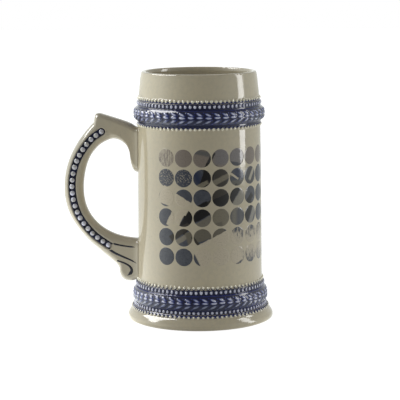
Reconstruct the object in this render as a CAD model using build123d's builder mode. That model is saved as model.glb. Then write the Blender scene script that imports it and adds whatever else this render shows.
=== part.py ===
from build123d import *

import os
from math import asin, degrees

# A glazed stoneware beer stein without a lid: a cup with a flared foot, a scrolled handle
# luted on at -X, two relief bands, rows of beads and a wrap-around print of round dots.
# Millimetres. The origin is the centre of the foot's resting plane, +Z is up.

# --- driving dimensions -------------------------------------------------------------------
HEIGHT = 170.0
FOOT_RADIUS = 50.0
FOOT_EDGE_RADIUS = 3.0
FOOT_REST_INNER_RADIUS = 41.0
FOOT_RECESS_DEPTH = 2.0
LIP_RADIUS = 38.9
LIP_ROUND = 1.7
INNER_LIP_RADIUS = 35.4
INNER_FLOOR_RADIUS = 38.0
FLOOR_THICKNESS = 9.0
FLOOR_CORNER = 9.0

# The outer wall is a chain of cones, as (radius, height) from the rim's neck to the foot.
NECK_TOP = (39.3, 167.5)
NECK_FOOT = (40.9, 153.5)
WALL_TOP = (41.7, 131.0)
WALL_FOOT = (42.5, 30.0)
FLARE_TOP = (44.5, 10.3)

# The two relief bands: a swelling with a flat land above and below it.
LAND_THICKNESS = 0.35
UPPER_LANDS = (135.4, 150.4)
UPPER_SWELL = (137.0, 146.2)
UPPER_SWELL_RADIUS = 44.2
LOWER_LANDS = (10.4, 26.8)
LOWER_SWELL = (13.2, 23.2)
LOWER_SWELL_RADIUS = 45.6
UPPER_LEAVES = 48
LOWER_LEAVES = 50
LEAF_LENGTH = 5.0
LEAF_WIDTH = 1.7
LEAF_LEAN = 32.0
LEAF_SPREAD = 2.0

# The bead rows, as (height, number of beads in a full turn).
BEAD_RADIUS = 1.1
UPPER_RIM_BEADS = (152.1, 84)
UPPER_COBALT_BEADS = (148.8, 82)
UPPER_WALL_BEADS = (134.2, 86)
LOWER_WALL_BEADS = (28.2, 84)
LOWER_COBALT_BEADS = (25.1, 82)
LOWER_GROOVE_BEADS = (11.7, 92)
LOWER_FOOT_BEADS = (8.8, 92)
FOOT_BEADS_SEAT_RADIUS = 46.3
FOOT_BEADS_SLOPE = 0.95
FOOT_BEADS_LIFT = 0.1
SEAT_CLEARANCE = 0.01

# The handle and its relief, drawn in the plane y = 0 as (x, z).
HANDLE_THICKNESS = 13.0
HANDLE_EDGE_ROUND = 2.2
SPUR_TIP = (-69.8, 141.6)
SPUR_HEEL = (-71.6, 135.6)
SCROLL_TOP = (-56.6, 36.9)
SCROLL_LIP = (-44.2, 27.2)
HANDLE_TOP_JOINT = (131.0, 101.5)
HANDLE_FOOT_JOINT = (54.8, 27.2)
CHANNEL_WIDTH = 4.8
CHANNEL_DEPTH = 0.6
CHANNEL_POINTS = (
    (-66.7, 128.6),
    (-74.4, 123.3),
    (-84.2, 108.2),
    (-87.6, 90.0),
    (-84.1, 72.7),
    (-73.9, 58.1),
    (-63.3, 50.1),
)
PEARL_COUNT = 22
PEARL_RADIUS = 1.7
LINE_WIDTH = 1.3
LINE_RELIEF = 0.25
LINE_POINTS = (
    ((-60.6, 51.4), (-54.0, 50.4), (-45.6, 48.7)),
    ((-62.0, 46.9), (-57.0, 43.8), (-50.8, 41.2), (-45.6, 38.4)),
    ((-58.2, 39.2), (-51.8, 37.6), (-47.2, 34.0), (-47.4, 30.8), (-50.4, 28.9)),
)

# The print: thin round dots that start beside the handle and run round to its other side.
DOT_ROWS = 6
DOTS_PER_ROW = 15
DOT_RADIUS = 6.1
DOT_PITCH = 13.2
DOT_TOP_ROW_Z = 115.0
DOT_FIRST_ANGLE = -118.3
DOT_ANGLE_STEP = 17.15
DOT_THICKNESS = 0.12


def cone_radius(z, upper, lower):
    """Radius at height z of the cone between two (radius, height) stations."""
    share = (z - lower[1]) / (upper[1] - lower[1])
    return lower[0] + share * (upper[0] - lower[0])


def wall_radius(z):
    """Radius of the plain outer wall at height z, above the foot's flare."""
    if z >= WALL_TOP[1]:
        return cone_radius(z, NECK_FOOT, WALL_TOP)
    if z >= WALL_FOOT[1]:
        return cone_radius(z, WALL_TOP, WALL_FOOT)
    return cone_radius(z, WALL_FOOT, FLARE_TOP)


def turn_angles(count):
    """Equally spaced angles for a full turn, with the direction +X midway between two."""
    return [360 * (i + 0.5) / count for i in range(count)]


def around(unit, angles):
    """The unit repeated at the given angles round the vessel's axis."""
    with BuildPart() as group:
        with Locations(*[Rotation(0, 0, angle) for angle in angles]):
            add(unit)
    return group.part


# --- the vessel ---------------------------------------------------------------------------
# The solid core has the vessel's outside and no hollow. Pieces that sit on the wall are cut
# back with it, so that they meet the vessel face to face.
with BuildPart() as vessel_core:
    with BuildSketch(Plane.XZ):
        with BuildLine():
            lip_outer = (LIP_RADIUS, HEIGHT - LIP_ROUND)
            lip_crest = (LIP_RADIUS - LIP_ROUND, HEIGHT)
            foot_side = (FOOT_RADIUS, FOOT_EDGE_RADIUS)
            foot_edge = (FOOT_RADIUS - FOOT_EDGE_RADIUS, 0)
            Line((0, 0), (0, HEIGHT))
            Line((0, HEIGHT), lip_crest)
            RadiusArc(lip_crest, lip_outer, LIP_ROUND)
            Polyline(lip_outer, NECK_TOP, NECK_FOOT, WALL_TOP, WALL_FOOT, FLARE_TOP)
            Spline(
                FLARE_TOP,
                (FOOT_BEADS_SEAT_RADIUS, LOWER_FOOT_BEADS[0]),
                foot_side,
                tangents=((0.3, -1), (0.15, -1)),
            )
            RadiusArc(foot_side, foot_edge, FOOT_EDGE_RADIUS)
            Line(foot_edge, (0, 0))
        make_face()
    revolve(axis=Axis.Z)

with BuildPart() as vessel_body:
    add(vessel_core.part)
    with BuildSketch(Plane.XZ):
        with BuildLine():
            mouth = (INNER_LIP_RADIUS + LIP_ROUND, HEIGHT)
            inner_lip = (INNER_LIP_RADIUS, HEIGHT - LIP_ROUND)
            floor_corner_side = (INNER_FLOOR_RADIUS, FLOOR_THICKNESS + FLOOR_CORNER)
            floor_corner_foot = (INNER_FLOOR_RADIUS - FLOOR_CORNER, FLOOR_THICKNESS)
            Line((0, FLOOR_THICKNESS), (0, HEIGHT))
            Line((0, HEIGHT), mouth)
            RadiusArc(mouth, inner_lip, -LIP_ROUND)
            Line(inner_lip, floor_corner_side)
            RadiusArc(floor_corner_side, floor_corner_foot, FLOOR_CORNER)
            Line(floor_corner_foot, (0, FLOOR_THICKNESS))
        make_face()
    revolve(axis=Axis.Z, mode=Mode.SUBTRACT)
    with BuildSketch(Plane.XY):
        Circle(FOOT_REST_INNER_RADIUS)
    extrude(amount=FOOT_RECESS_DEPTH, taper=45, mode=Mode.SUBTRACT)
vessel_body.part.label = "vessel_body"


# --- the relief bands -----------------------------------------------------------------------
def band_ring(lands, swell, swell_radius):
    """A ring that hugs the wall: a flat land, a rounded swelling, and a second land."""
    land_foot, land_top = lands
    swell_foot, swell_top = swell
    swell_middle = (swell_radius, (swell_foot + swell_top) / 2)
    inner_top = (wall_radius(land_top), land_top)
    inner_foot = (wall_radius(land_foot), land_foot)
    outer_top = (wall_radius(land_top) + LAND_THICKNESS, land_top)
    outer_foot = (wall_radius(land_foot) + LAND_THICKNESS, land_foot)
    swell_starts = (wall_radius(swell_top) + LAND_THICKNESS, swell_top)
    swell_ends = (wall_radius(swell_foot) + LAND_THICKNESS, swell_foot)
    with BuildPart() as ring:
        with BuildSketch(Plane.XZ):
            with BuildLine():
                Polyline(outer_foot, inner_foot, inner_top, outer_top, swell_starts)
                ThreePointArc(swell_starts, swell_middle, swell_ends)
                Line(swell_ends, outer_foot)
            make_face()
        revolve(axis=Axis.Z)
    return ring.part


def leaf_pair(ring, swell, swell_radius):
    """Two laurel leaves that lean towards each other, resting on the ring's swelling."""
    middle = (swell[0] + swell[1]) / 2
    with BuildPart() as leaves:
        for side in (-1, 1):
            seat = Plane(
                origin=(swell_radius - LEAF_WIDTH / 3, 0, middle + side * LEAF_SPREAD),
                x_dir=(0, 1, 0),
                z_dir=(1, 0, 0),
            ).rotated((0, 0, -side * LEAF_LEAN))
            with BuildSketch(seat):
                Ellipse(LEAF_LENGTH / 2, LEAF_WIDTH / 2)
                split(bisect_by=Plane.XZ)
            revolve(axis=Axis(seat.origin, seat.x_dir))
        add(ring, mode=Mode.SUBTRACT)
        add(vessel_core.part, mode=Mode.SUBTRACT)
    return leaves.part


upper_band = band_ring(UPPER_LANDS, UPPER_SWELL, UPPER_SWELL_RADIUS)
upper_band.label = "upper_band"
upper_band_leaves = around(
    leaf_pair(upper_band, UPPER_SWELL, UPPER_SWELL_RADIUS), turn_angles(UPPER_LEAVES)
)
upper_band_leaves.label = "upper_band_leaves"
lower_band = band_ring(LOWER_LANDS, LOWER_SWELL, LOWER_SWELL_RADIUS)
lower_band.label = "lower_band"
lower_band_leaves = around(
    leaf_pair(lower_band, LOWER_SWELL, LOWER_SWELL_RADIUS), turn_angles(LOWER_LEAVES)
)
lower_band_leaves.label = "lower_band_leaves"


# --- the bead rows ------------------------------------------------------------------------
def bead_row(beads, seat_radius, seat_slope, gap_half_width=0.0):
    """A row of half-round beads, each on a plane that just clears its conical seat.

    seat_slope is how far the seat's radius shrinks per millimetre of height. The row is
    left open at the handle where a gap is given.
    """
    z, count = beads
    half_gap_angle = degrees(asin(gap_half_width / seat_radius))
    angles = [angle for angle in turn_angles(count) if abs(angle - 180) >= half_gap_angle]
    seat_plane = Plane(
        origin=(seat_radius + SEAT_CLEARANCE, 0, z),
        x_dir=(0, 1, 0),
        z_dir=(1, 0, seat_slope),
    )
    with BuildPart(seat_plane) as bead:
        Sphere(BEAD_RADIUS, arc_size1=0)
    return around(bead.part, angles)


def wall_slope(z):
    """How far the wall's radius shrinks per millimetre of height."""
    return wall_radius(z - 0.5) - wall_radius(z + 0.5)


def bead_row_on_wall(beads, gap_half_width=0.0):
    """A row of beads on the vessel's plain wall."""
    z = beads[0]
    return bead_row(beads, wall_radius(z), wall_slope(z), gap_half_width)


def bead_row_on_land(beads):
    """A full row of beads on the flat land of a relief band."""
    z = beads[0]
    return bead_row(beads, wall_radius(z) + LAND_THICKNESS, wall_slope(z))


bead_rows = {
    "upper_beads_rim_side": bead_row_on_wall(UPPER_RIM_BEADS),
    "upper_beads_on_cobalt": bead_row_on_land(UPPER_COBALT_BEADS),
    "upper_beads_wall_side": bead_row_on_wall(UPPER_WALL_BEADS),
    "lower_beads_wall_side": bead_row_on_wall(
        LOWER_WALL_BEADS, gap_half_width=HANDLE_THICKNESS / 2 + BEAD_RADIUS
    ),
    "lower_beads_on_cobalt": bead_row_on_land(LOWER_COBALT_BEADS),
    "lower_beads_in_groove": bead_row_on_land(LOWER_GROOVE_BEADS),
    "lower_beads_foot_side": bead_row(
        LOWER_FOOT_BEADS, FOOT_BEADS_SEAT_RADIUS + FOOT_BEADS_LIFT, FOOT_BEADS_SLOPE
    ),
}
for name, row in bead_rows.items():
    row.label = name


# --- the relief on the handle's side faces --------------------------------------------------
def side_plane(side, depth=0.0):
    """A side face of the handle seen from outside: side is -1 in front and 1 at the back."""
    return Plane(
        origin=(0, side * (HANDLE_THICKNESS / 2 + depth), 0),
        x_dir=(-side, 0, 0),
        z_dir=(0, side, 0),
    )


def seen_from(side, points):
    """Points given as (x, z), in the plane of one side face."""
    return [(-side * x, z) for x, z in points]


def channel_inlay(side):
    """The cobalt strip that fills the channel on one side face."""
    with BuildPart() as inlay:
        with BuildSketch(side_plane(side, -CHANNEL_DEPTH)):
            with BuildLine():
                path = Spline(*seen_from(side, CHANNEL_POINTS))
            trace(line_width=CHANNEL_WIDTH)
            with Locations(path @ 0, path @ 1):
                Circle(CHANNEL_WIDTH / 2)
        extrude(amount=CHANNEL_DEPTH)
    return inlay.part


def pearl_string(side):
    """The half-round pearls that stand on the channel, evenly spaced along it."""
    with BuildLine(Plane.XY):
        path = Spline(*seen_from(side, CHANNEL_POINTS))
    places = [path @ (i / (PEARL_COUNT - 1)) for i in range(PEARL_COUNT)]
    with BuildPart(side_plane(side)) as string:
        with Locations(*[(place.X, place.Y, 0) for place in places]):
            Sphere(PEARL_RADIUS, arc_size1=0)
    return string.part


def cobalt_lines(side):
    """The raised cobalt strokes below the channel on one side face."""
    with BuildPart() as lines:
        with BuildSketch(side_plane(side)):
            for points in LINE_POINTS:
                with BuildLine():
                    Spline(*seen_from(side, points))
                trace(line_width=LINE_WIDTH)
        extrude(amount=LINE_RELIEF)
    return lines.part


side_pieces = {
    "handle_channel_front": channel_inlay(-1),
    "handle_channel_back": channel_inlay(1),
    "handle_pearls_front": pearl_string(-1),
    "handle_pearls_back": pearl_string(1),
    "handle_lines_front": cobalt_lines(-1),
    "handle_lines_back": cobalt_lines(1),
}
for name, piece in side_pieces.items():
    piece.label = name

# --- the handle ---------------------------------------------------------------------------
# Its outline runs on inside the wall, and the core then cuts it back to the wall's surface.
with BuildPart() as handle:
    inside_wall = -NECK_TOP[0]
    top_joint_above, top_joint_below = HANDLE_TOP_JOINT
    foot_joint_above, foot_joint_below = HANDLE_FOOT_JOINT
    with BuildSketch(Plane.XZ):
        with BuildLine():
            Line((inside_wall, top_joint_below), (inside_wall, top_joint_above))
            Spline((inside_wall, top_joint_above), (-43.4, 132.4), (-48.0, 135.3),
                   (-54.0, 138.0), (-62.3, 140.6), SPUR_TIP)
            Spline(SPUR_TIP, (-71.4, 139.4), SPUR_HEEL)
            Spline(SPUR_HEEL, (-81.0, 124.4), (-90.2, 106.5), (-92.7, 90.0), (-86.8, 67.6),
                   (-73.5, 50.9), SCROLL_TOP)
            Spline(SCROLL_TOP, (-55.0, 31.3), (-51.5, 26.2), (-47.0, 25.4), SCROLL_LIP)
            Line(SCROLL_LIP, (inside_wall, foot_joint_below))
            Line((inside_wall, foot_joint_below), (inside_wall, foot_joint_above))
            Spline((inside_wall, foot_joint_above), (-48.5, 56.8), (-63.4, 62.1),
                   (-73.9, 73.2), (-79.0, 90.0), (-76.1, 109.2), (-67.6, 120.3),
                   (-59.0, 123.5), (-50.5, 120.2), (-46.4, 110.0), (-44.6, 103.0),
                   (inside_wall, top_joint_below))
        make_face()
    extrude(amount=HANDLE_THICKNESS / 2, both=True)
    side_edges = handle.edges().group_by(Axis.Y)[0] + handle.edges().group_by(Axis.Y)[-1]
    fillet(side_edges, radius=HANDLE_EDGE_ROUND)
    add(vessel_core.part, mode=Mode.SUBTRACT)
    add(side_pieces["handle_channel_front"], mode=Mode.SUBTRACT)
    add(side_pieces["handle_channel_back"], mode=Mode.SUBTRACT)
handle.part.label = "handle"


# --- the print ----------------------------------------------------------------------------
def print_dot(z):
    """One round dot of the transfer at height z, bent to the wall that it lies on."""
    low = z - DOT_PITCH / 2
    high = z + DOT_PITCH / 2
    with BuildPart() as dot:
        with BuildSketch(Plane.XZ):
            with BuildLine():
                Polyline(
                    (wall_radius(low), low),
                    (wall_radius(high), high),
                    (wall_radius(high) + DOT_THICKNESS, high),
                    (wall_radius(low) + DOT_THICKNESS, low),
                    close=True,
                )
            make_face()
        revolve(axis=Axis.Z)
        with BuildSketch(Plane.YZ):
            with Locations((0, z)):
                Circle(DOT_RADIUS)
        extrude(amount=FOOT_RADIUS, mode=Mode.INTERSECT)
    return dot.part


with BuildPart() as print_dots:
    column_angles = [DOT_FIRST_ANGLE + DOT_ANGLE_STEP * i for i in range(DOTS_PER_ROW)]
    for row in range(DOT_ROWS):
        add(around(print_dot(DOT_TOP_ROW_Z - row * DOT_PITCH), column_angles))
print_dots.part.label = "print_dots"

# --- one STEP per piece --------------------------------------------------------------------
pieces = [
    vessel_body.part,
    handle.part,
    upper_band,
    upper_band_leaves,
    lower_band,
    lower_band_leaves,
    *bead_rows.values(),
    *side_pieces.values(),
    print_dots.part,
]
os.makedirs("parts", exist_ok=True)
for piece in pieces:
    export_step(piece, f"parts/{piece.label}.step")
    print(piece.label, len(piece.solids()), "solids")
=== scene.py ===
import math

import bpy
import bmesh
import numpy as np
from mathutils import Matrix, Vector


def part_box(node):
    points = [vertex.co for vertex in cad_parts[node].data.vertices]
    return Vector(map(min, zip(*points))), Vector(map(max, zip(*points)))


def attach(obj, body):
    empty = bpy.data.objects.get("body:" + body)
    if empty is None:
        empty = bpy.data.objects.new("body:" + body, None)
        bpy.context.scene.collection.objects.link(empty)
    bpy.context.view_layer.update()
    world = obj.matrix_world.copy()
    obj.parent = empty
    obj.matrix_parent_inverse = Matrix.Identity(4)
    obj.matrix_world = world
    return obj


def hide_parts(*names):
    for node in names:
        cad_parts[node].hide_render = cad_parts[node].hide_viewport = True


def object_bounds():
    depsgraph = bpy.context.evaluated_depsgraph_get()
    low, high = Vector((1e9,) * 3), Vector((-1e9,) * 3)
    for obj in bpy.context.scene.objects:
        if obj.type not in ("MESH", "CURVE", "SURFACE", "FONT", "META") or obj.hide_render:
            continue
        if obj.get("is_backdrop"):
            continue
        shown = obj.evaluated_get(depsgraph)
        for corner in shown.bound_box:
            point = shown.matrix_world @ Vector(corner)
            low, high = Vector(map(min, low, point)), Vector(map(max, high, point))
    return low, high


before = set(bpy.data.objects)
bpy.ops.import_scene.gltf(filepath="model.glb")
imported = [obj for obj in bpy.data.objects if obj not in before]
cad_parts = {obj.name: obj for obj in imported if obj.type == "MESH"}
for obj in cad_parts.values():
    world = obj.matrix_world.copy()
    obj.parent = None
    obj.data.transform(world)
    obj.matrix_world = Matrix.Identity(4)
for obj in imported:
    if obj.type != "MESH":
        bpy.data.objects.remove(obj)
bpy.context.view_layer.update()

# A glazed stoneware stein. Lengths in the tables below are millimetres and are turned into
# metres where meshes are made. +Z is up, the handle is at -X, and the front view looks along +Y.
MM = 0.001

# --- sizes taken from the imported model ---


def box_mm(node):
    """The corners of a CAD node's box, in millimetres."""
    low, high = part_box(node)
    return np.array(low) / MM, np.array(high) / MM


_, vessel_high = box_mm("vessel_body")
_, handle_high = box_mm("handle")
upper_low, upper_high = box_mm("upper_band")
lower_low, lower_high = box_mm("lower_band")
HEIGHT = vessel_high[2]
HANDLE_HALF = handle_high[1]

# The outer wall as (height, radius), under the relief.
WALL_STATIONS = ((10.3, 44.5), (30.0, 42.5), (131.0, 41.7), (153.5, 40.9), (167.5, 39.3))


def wall_radius(z):
    """Radius of the plain outer wall at height z."""
    heights, radii = zip(*WALL_STATIONS)
    return np.interp(z, heights, radii)


# --- mesh helpers ---
# A rounded corner takes at most this share of the run on either side of it.
CORNER_SHARE = 0.45


def link(data, name):
    """Puts a mesh, a light or a camera into the scene."""
    piece = bpy.data.objects.new(name, data)
    bpy.context.scene.collection.objects.link(piece)
    return piece


def grid_piece(name, points, wrap_rows=False, wrap_columns=False, layers=None):
    """A smooth quad mesh over a rows x columns array of points in millimetres."""
    rows, columns = points.shape[:2]
    row = np.arange(rows if wrap_rows else rows - 1)
    column = np.arange(columns if wrap_columns else columns - 1)
    r0, c0 = np.meshgrid(row, column, indexing="ij")
    r1, c1 = (r0 + 1) % rows, (c0 + 1) % columns
    corners = (r0 * columns + c0, r0 * columns + c1, r1 * columns + c1, r1 * columns + c0)
    quads = np.stack(corners, axis=-1).reshape(-1, 4)
    mesh = bpy.data.meshes.new(name)
    mesh.vertices.add(rows * columns)
    mesh.vertices.foreach_set("co", (points * MM).astype(np.float32).ravel())
    mesh.loops.add(quads.size)
    mesh.loops.foreach_set("vertex_index", quads.ravel().astype(np.int32))
    mesh.polygons.add(len(quads))
    mesh.polygons.foreach_set("loop_start", np.arange(0, quads.size, 4, dtype=np.int32))
    mesh.polygons.foreach_set("use_smooth", np.ones(len(quads), dtype=bool))
    for layer, values in (layers or {}).items():
        attribute = mesh.attributes.new(layer, "FLOAT", "POINT")
        attribute.data.foreach_set("value", values.astype(np.float32).ravel())
    mesh.update(calc_edges=True)
    return link(mesh, name)


def weld(piece, distance=1e-7):
    """Joins coincident points and turns every face outwards."""
    shape = bmesh.new()
    shape.from_mesh(piece.data)
    bmesh.ops.remove_doubles(shape, verts=shape.verts, dist=distance)
    bmesh.ops.dissolve_degenerate(shape, edges=shape.edges, dist=distance)
    bmesh.ops.recalc_face_normals(shape, faces=shape.faces)
    shape.to_mesh(piece.data)
    shape.free()
    return piece


def smooth_shaded(mesh):
    mesh.polygons.foreach_set("use_smooth", np.ones(len(mesh.polygons), dtype=bool))


def fill_ends(piece):
    """Closes the open ends of a strip."""
    shape = bmesh.new()
    shape.from_mesh(piece.data)
    bmesh.ops.holes_fill(shape, edges=[e for e in shape.edges if e.is_boundary], sides=0)
    shape.to_mesh(piece.data)
    shape.free()


def unit(vector):
    return vector / np.linalg.norm(vector)


def turned(profile, count):
    """A (radius, height) profile turned round Z: rows follow the profile, columns the turn."""
    angle = np.arange(count) * (2 * math.pi / count)
    radius = profile[:, 0][:, None]
    height = np.broadcast_to(profile[:, 1][:, None], (len(profile), count))
    return np.stack((radius * np.cos(angle), radius * np.sin(angle), height), axis=-1)


def rounded_path(stations, arc_steps=6, longest=3.0):
    """A (radius, height, corner radius) chain with its corners rounded and long runs divided."""
    points = [np.array(s[:2], float) for s in stations]
    path = [points[0]]
    for before, here, after, station in zip(points, points[1:], points[2:], stations[1:]):
        runs = np.linalg.norm(before - here), np.linalg.norm(after - here)
        reach = min(station[2], CORNER_SHARE * min(runs))
        start, end = here + unit(before - here) * reach, here + unit(after - here) * reach
        for t in np.linspace(0, 1, arc_steps + 1):
            path.append((1 - t) ** 2 * start + 2 * t * (1 - t) * here + t**2 * end)
    path.append(points[-1])
    divided = [path[0]]
    for a, b in zip(path, path[1:]):
        pieces = max(1, math.ceil(np.linalg.norm(b - a) / longest))
        divided += [a + (b - a) * (i + 1) / pieces for i in range(pieces)]
    return np.array(divided)


# --- the vessel ---
# Each station: radius, height and corner radius, from the underside round the outside and in.
VESSEL_PROFILE = (
    (0.0, 2.3, 0.0),
    (37.6, 2.3, 1.2),
    (40.2, 0.15, 1.0),
    (41.5, 0.0, 0.8),
    (46.9, 0.0, 1.6),
    (50.0, 1.4, 1.6),
    (49.9, 3.9, 1.4),
    (47.8, 7.2, 2.0),
    (45.6, 9.3, 2.0),
    (44.5, 10.9, 1.5),
    (42.5, 30.0, 6.0),
    (41.7, 131.0, 6.0),
    (40.9, 153.5, 5.0),
    (39.5, 166.8, 2.0),
    (38.9, 169.6, 0.9),
    (37.4, 170.0, 0.7),
    (35.9, 169.7, 0.8),
    (35.4, 167.8, 1.5),
    (36.2, 140.0, 8.0),
    (38.0, 22.0, 8.0),
    (37.6, 12.0, 5.0),
    (33.0, 9.2, 4.0),
    (0.0, 9.0, 0.0),
)
VESSEL_TURN_STEPS = 288


def build_vessel():
    profile = rounded_path(VESSEL_PROFILE)
    vessel = grid_piece("stein_vessel", turned(profile, VESSEL_TURN_STEPS), wrap_columns=True)
    weld(vessel)
    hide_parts("vessel_body")
    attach(vessel, "root")
    return vessel


# --- relief helpers ---
def blurred(field, steps, wrap_axis=1):
    """A few passes of a 1-2-1 blur: the softening that a coat of glaze gives to relief."""
    for _ in range(steps):
        around = 0.25 * np.roll(field, 1, wrap_axis) + 0.25 * np.roll(field, -1, wrap_axis)
        field = 0.5 * field + around
        padded = np.pad(field, ((1, 1), (0, 0)), mode="edge")
        field = 0.5 * field + 0.25 * padded[:-2] + 0.25 * padded[2:]
    return field


def smoothstep(low, high, value):
    t = np.clip((value - low) / (high - low), 0, 1)
    return t * t * (3 - 2 * t)


def path_frames(path):
    """Running length along a (radius, height) path, and the unit normal that points outwards."""
    step = np.gradient(path, axis=0)
    step /= np.linalg.norm(step, axis=1)[:, None]
    normal = np.stack((-step[:, 1], step[:, 0]), axis=1)
    if normal[len(path) // 2, 0] < 0:
        normal = -normal
    length = np.concatenate(([0], np.cumsum(np.linalg.norm(np.diff(path, axis=0), axis=1))))
    return length, normal


def relief_ring(name, path, heights, count, layers, inset=0.5):
    """A closed ring: a (radius, height) path raised by heights, with a hidden back in the wall."""
    _, normal = path_frames(path)
    face = path[:, None, :] + heights[:, :, None] * normal[:, None, :]
    back = path[[-1, 0]] - inset * normal[[-1, 0]]
    back = np.broadcast_to(back[:, None, :], (2, count, 2))
    section = np.concatenate((face, back), axis=0)
    angle = (np.arange(count) + 0.5) * (2 * math.pi / count)
    points = np.stack(
        (section[..., 0] * np.cos(angle), section[..., 0] * np.sin(angle), section[..., 1]), axis=-1
    )
    full = {}
    for layer, values in layers.items():
        full[layer] = np.concatenate((values, values[[-1, 0]]), axis=0)
    ring = grid_piece(name, points, wrap_rows=True, wrap_columns=True, layers=full)
    weld(ring)
    return ring


# --- the relief bands ---
LAND_THICKNESS = 0.35
BAND_STEPS = 74
BAND_SAMPLES = 1200
BAND_SOFTENING = 45
SWELL_POWER = 2.3
COLUMNS_PER_LEAF = 24
LEAF_SIZE_SPREAD = 0.10
LEAF_PLACE_SPREAD = 0.18
GLAZE_BLUR = 2
POOL_BLUR = 14
# A leaf is (place along the unit, place across the band, length, half width, lean, height).
LEAF_SHAPES = (
    (0.02, 2.15, 5.0, 0.98, -27.0, 0.64),
    (0.06, 0.15, 4.9, 0.90, -3.0, 0.74),
    (0.00, -2.35, 5.3, 0.90, 25.0, 0.60),
    (0.50, 3.35, 1.3, 0.50, -24.0, 0.30),
    (0.50, -3.95, 2.2, 0.55, 22.0, 0.34),
    (0.46, 1.55, 1.5, 0.40, -30.0, 0.22),
    (0.46, -1.35, 1.5, 0.40, 28.0, 0.22),
)
# The raised cord along each edge of a swelling: place across the band, width and height.
EDGE_CORD = (5.15, 0.32, 0.26)


def leaf_height(u, v, length, half_width, lean, height):
    """Height of one pointed leaf at (u, v) millimetres from its middle."""
    turn = math.radians(lean)
    along = (u * math.cos(turn) + v * math.sin(turn)) / (length / 2)
    across = (-u * math.sin(turn) + v * math.cos(turn)) / half_width
    width = np.clip(1 - along**2, 1e-6, 1)
    body = np.clip(1 - (across / width) ** 2, 0, 1)
    return height * np.where(np.abs(along) < 1, body**0.75 * width**0.35, 0)


def band_path(low, high, swell_share, swell_radius, steps):
    """The band's section without relief: land, swelling, land, evenly stepped by length."""
    middle = low + (high - low) * swell_share[0]
    half = (high - low) * swell_share[1]
    z = np.linspace(low, high, BAND_SAMPLES)
    land = wall_radius(z) + LAND_THICKNESS
    rise = swell_radius - (wall_radius(middle) + LAND_THICKNESS)
    across = np.clip(np.abs(z - middle) / half, 0, 1)
    bulge = rise * np.sqrt(np.clip(1 - across**SWELL_POWER, 0, 1))
    kernel = np.ones(BAND_SOFTENING) / BAND_SOFTENING
    padded = np.pad(land + bulge, BAND_SOFTENING // 2, mode="edge")
    radius = np.convolve(padded, kernel, mode="valid")
    length = np.concatenate(([0], np.cumsum(np.hypot(np.diff(radius), np.diff(z)))))
    even = np.linspace(0, length[-1], steps)
    path = np.stack((np.interp(even, length, radius), np.interp(even, length, z)), axis=1)
    middle_length = np.interp(middle, z, length)
    return path, even - middle_length


def build_band(name, node, low, high, swell_share, swell_radius, leaves, seed):
    """One cobalt band: a swelling between two lands, with its laurel leaves and edge cords."""
    count = leaves * COLUMNS_PER_LEAF
    path, across = band_path(low[2], high[2], swell_share, swell_radius, BAND_STEPS)
    pitch = 2 * math.pi * swell_radius / leaves
    along = (np.arange(count) + 0.5) / COLUMNS_PER_LEAF
    wobble = np.random.default_rng(seed)
    size = 1 + LEAF_SIZE_SPREAD * wobble.standard_normal(leaves)
    shift = LEAF_PLACE_SPREAD * wobble.standard_normal(leaves)
    heights = np.zeros((len(path), count))
    for place, across_place, length, half_width, lean, height in LEAF_SHAPES:
        for neighbour in (-1, 0, 1):
            cell = np.floor(along - place).astype(int) + neighbour
            u = (along - place - 0.5 - cell) * pitch
            index = cell % leaves
            v = across[:, None] - across_place - shift[index][None, :] * 0.5
            leaf = leaf_height(u[None, :], v, length, half_width, lean, height)
            heights = np.maximum(heights, leaf * size[index][None, :])
    cord_place, cord_width, cord_height = EDGE_CORD
    cord = cord_height * np.exp(-(((np.abs(across) - cord_place) / cord_width) ** 2))
    heights = np.maximum(heights, cord[:, None])
    soft = blurred(heights, GLAZE_BLUR)
    raised = np.clip(soft / 0.6, 0, 1)
    pooled = np.clip((blurred(heights, POOL_BLUR) - soft) / 0.2, 0, 1)
    lower = np.broadcast_to(smoothstep(0.6, -2.6, across)[:, None], soft.shape)
    layers = {"raised": raised, "pooled": pooled, "lower": lower}
    band = relief_ring(name, path, soft, count, layers)
    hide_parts(node, node + "_leaves")
    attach(band, "root")
    return band


# Where a swelling's middle is, and its half width, as shares of the band's height.
UPPER_SWELL_SHARE = (0.425, 0.315)
LOWER_SWELL_SHARE = (0.475, 0.31)
UPPER_SWELL_RADIUS = 44.15
LOWER_SWELL_RADIUS = 45.7
UPPER_LEAVES = 48
LOWER_LEAVES = 50

# --- the bead rows ---
BEAD_RADIUS = 1.06
BEAD_STRIP_HALF = 1.7
BEAD_ROW_STEPS = 17
COLUMNS_PER_BEAD = 14
BEAD_SIZE_SPREAD = 0.05
TALL_ON_COBALT = 1.22
TALL_ON_WALL = 1.05
BEAD_DEPTH = 0.9
# The foot-side row's seat: height, radius, and how far the radius falls per mm of height.
FOOT_SEAT = (8.85, 46.35, 0.62)


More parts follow.
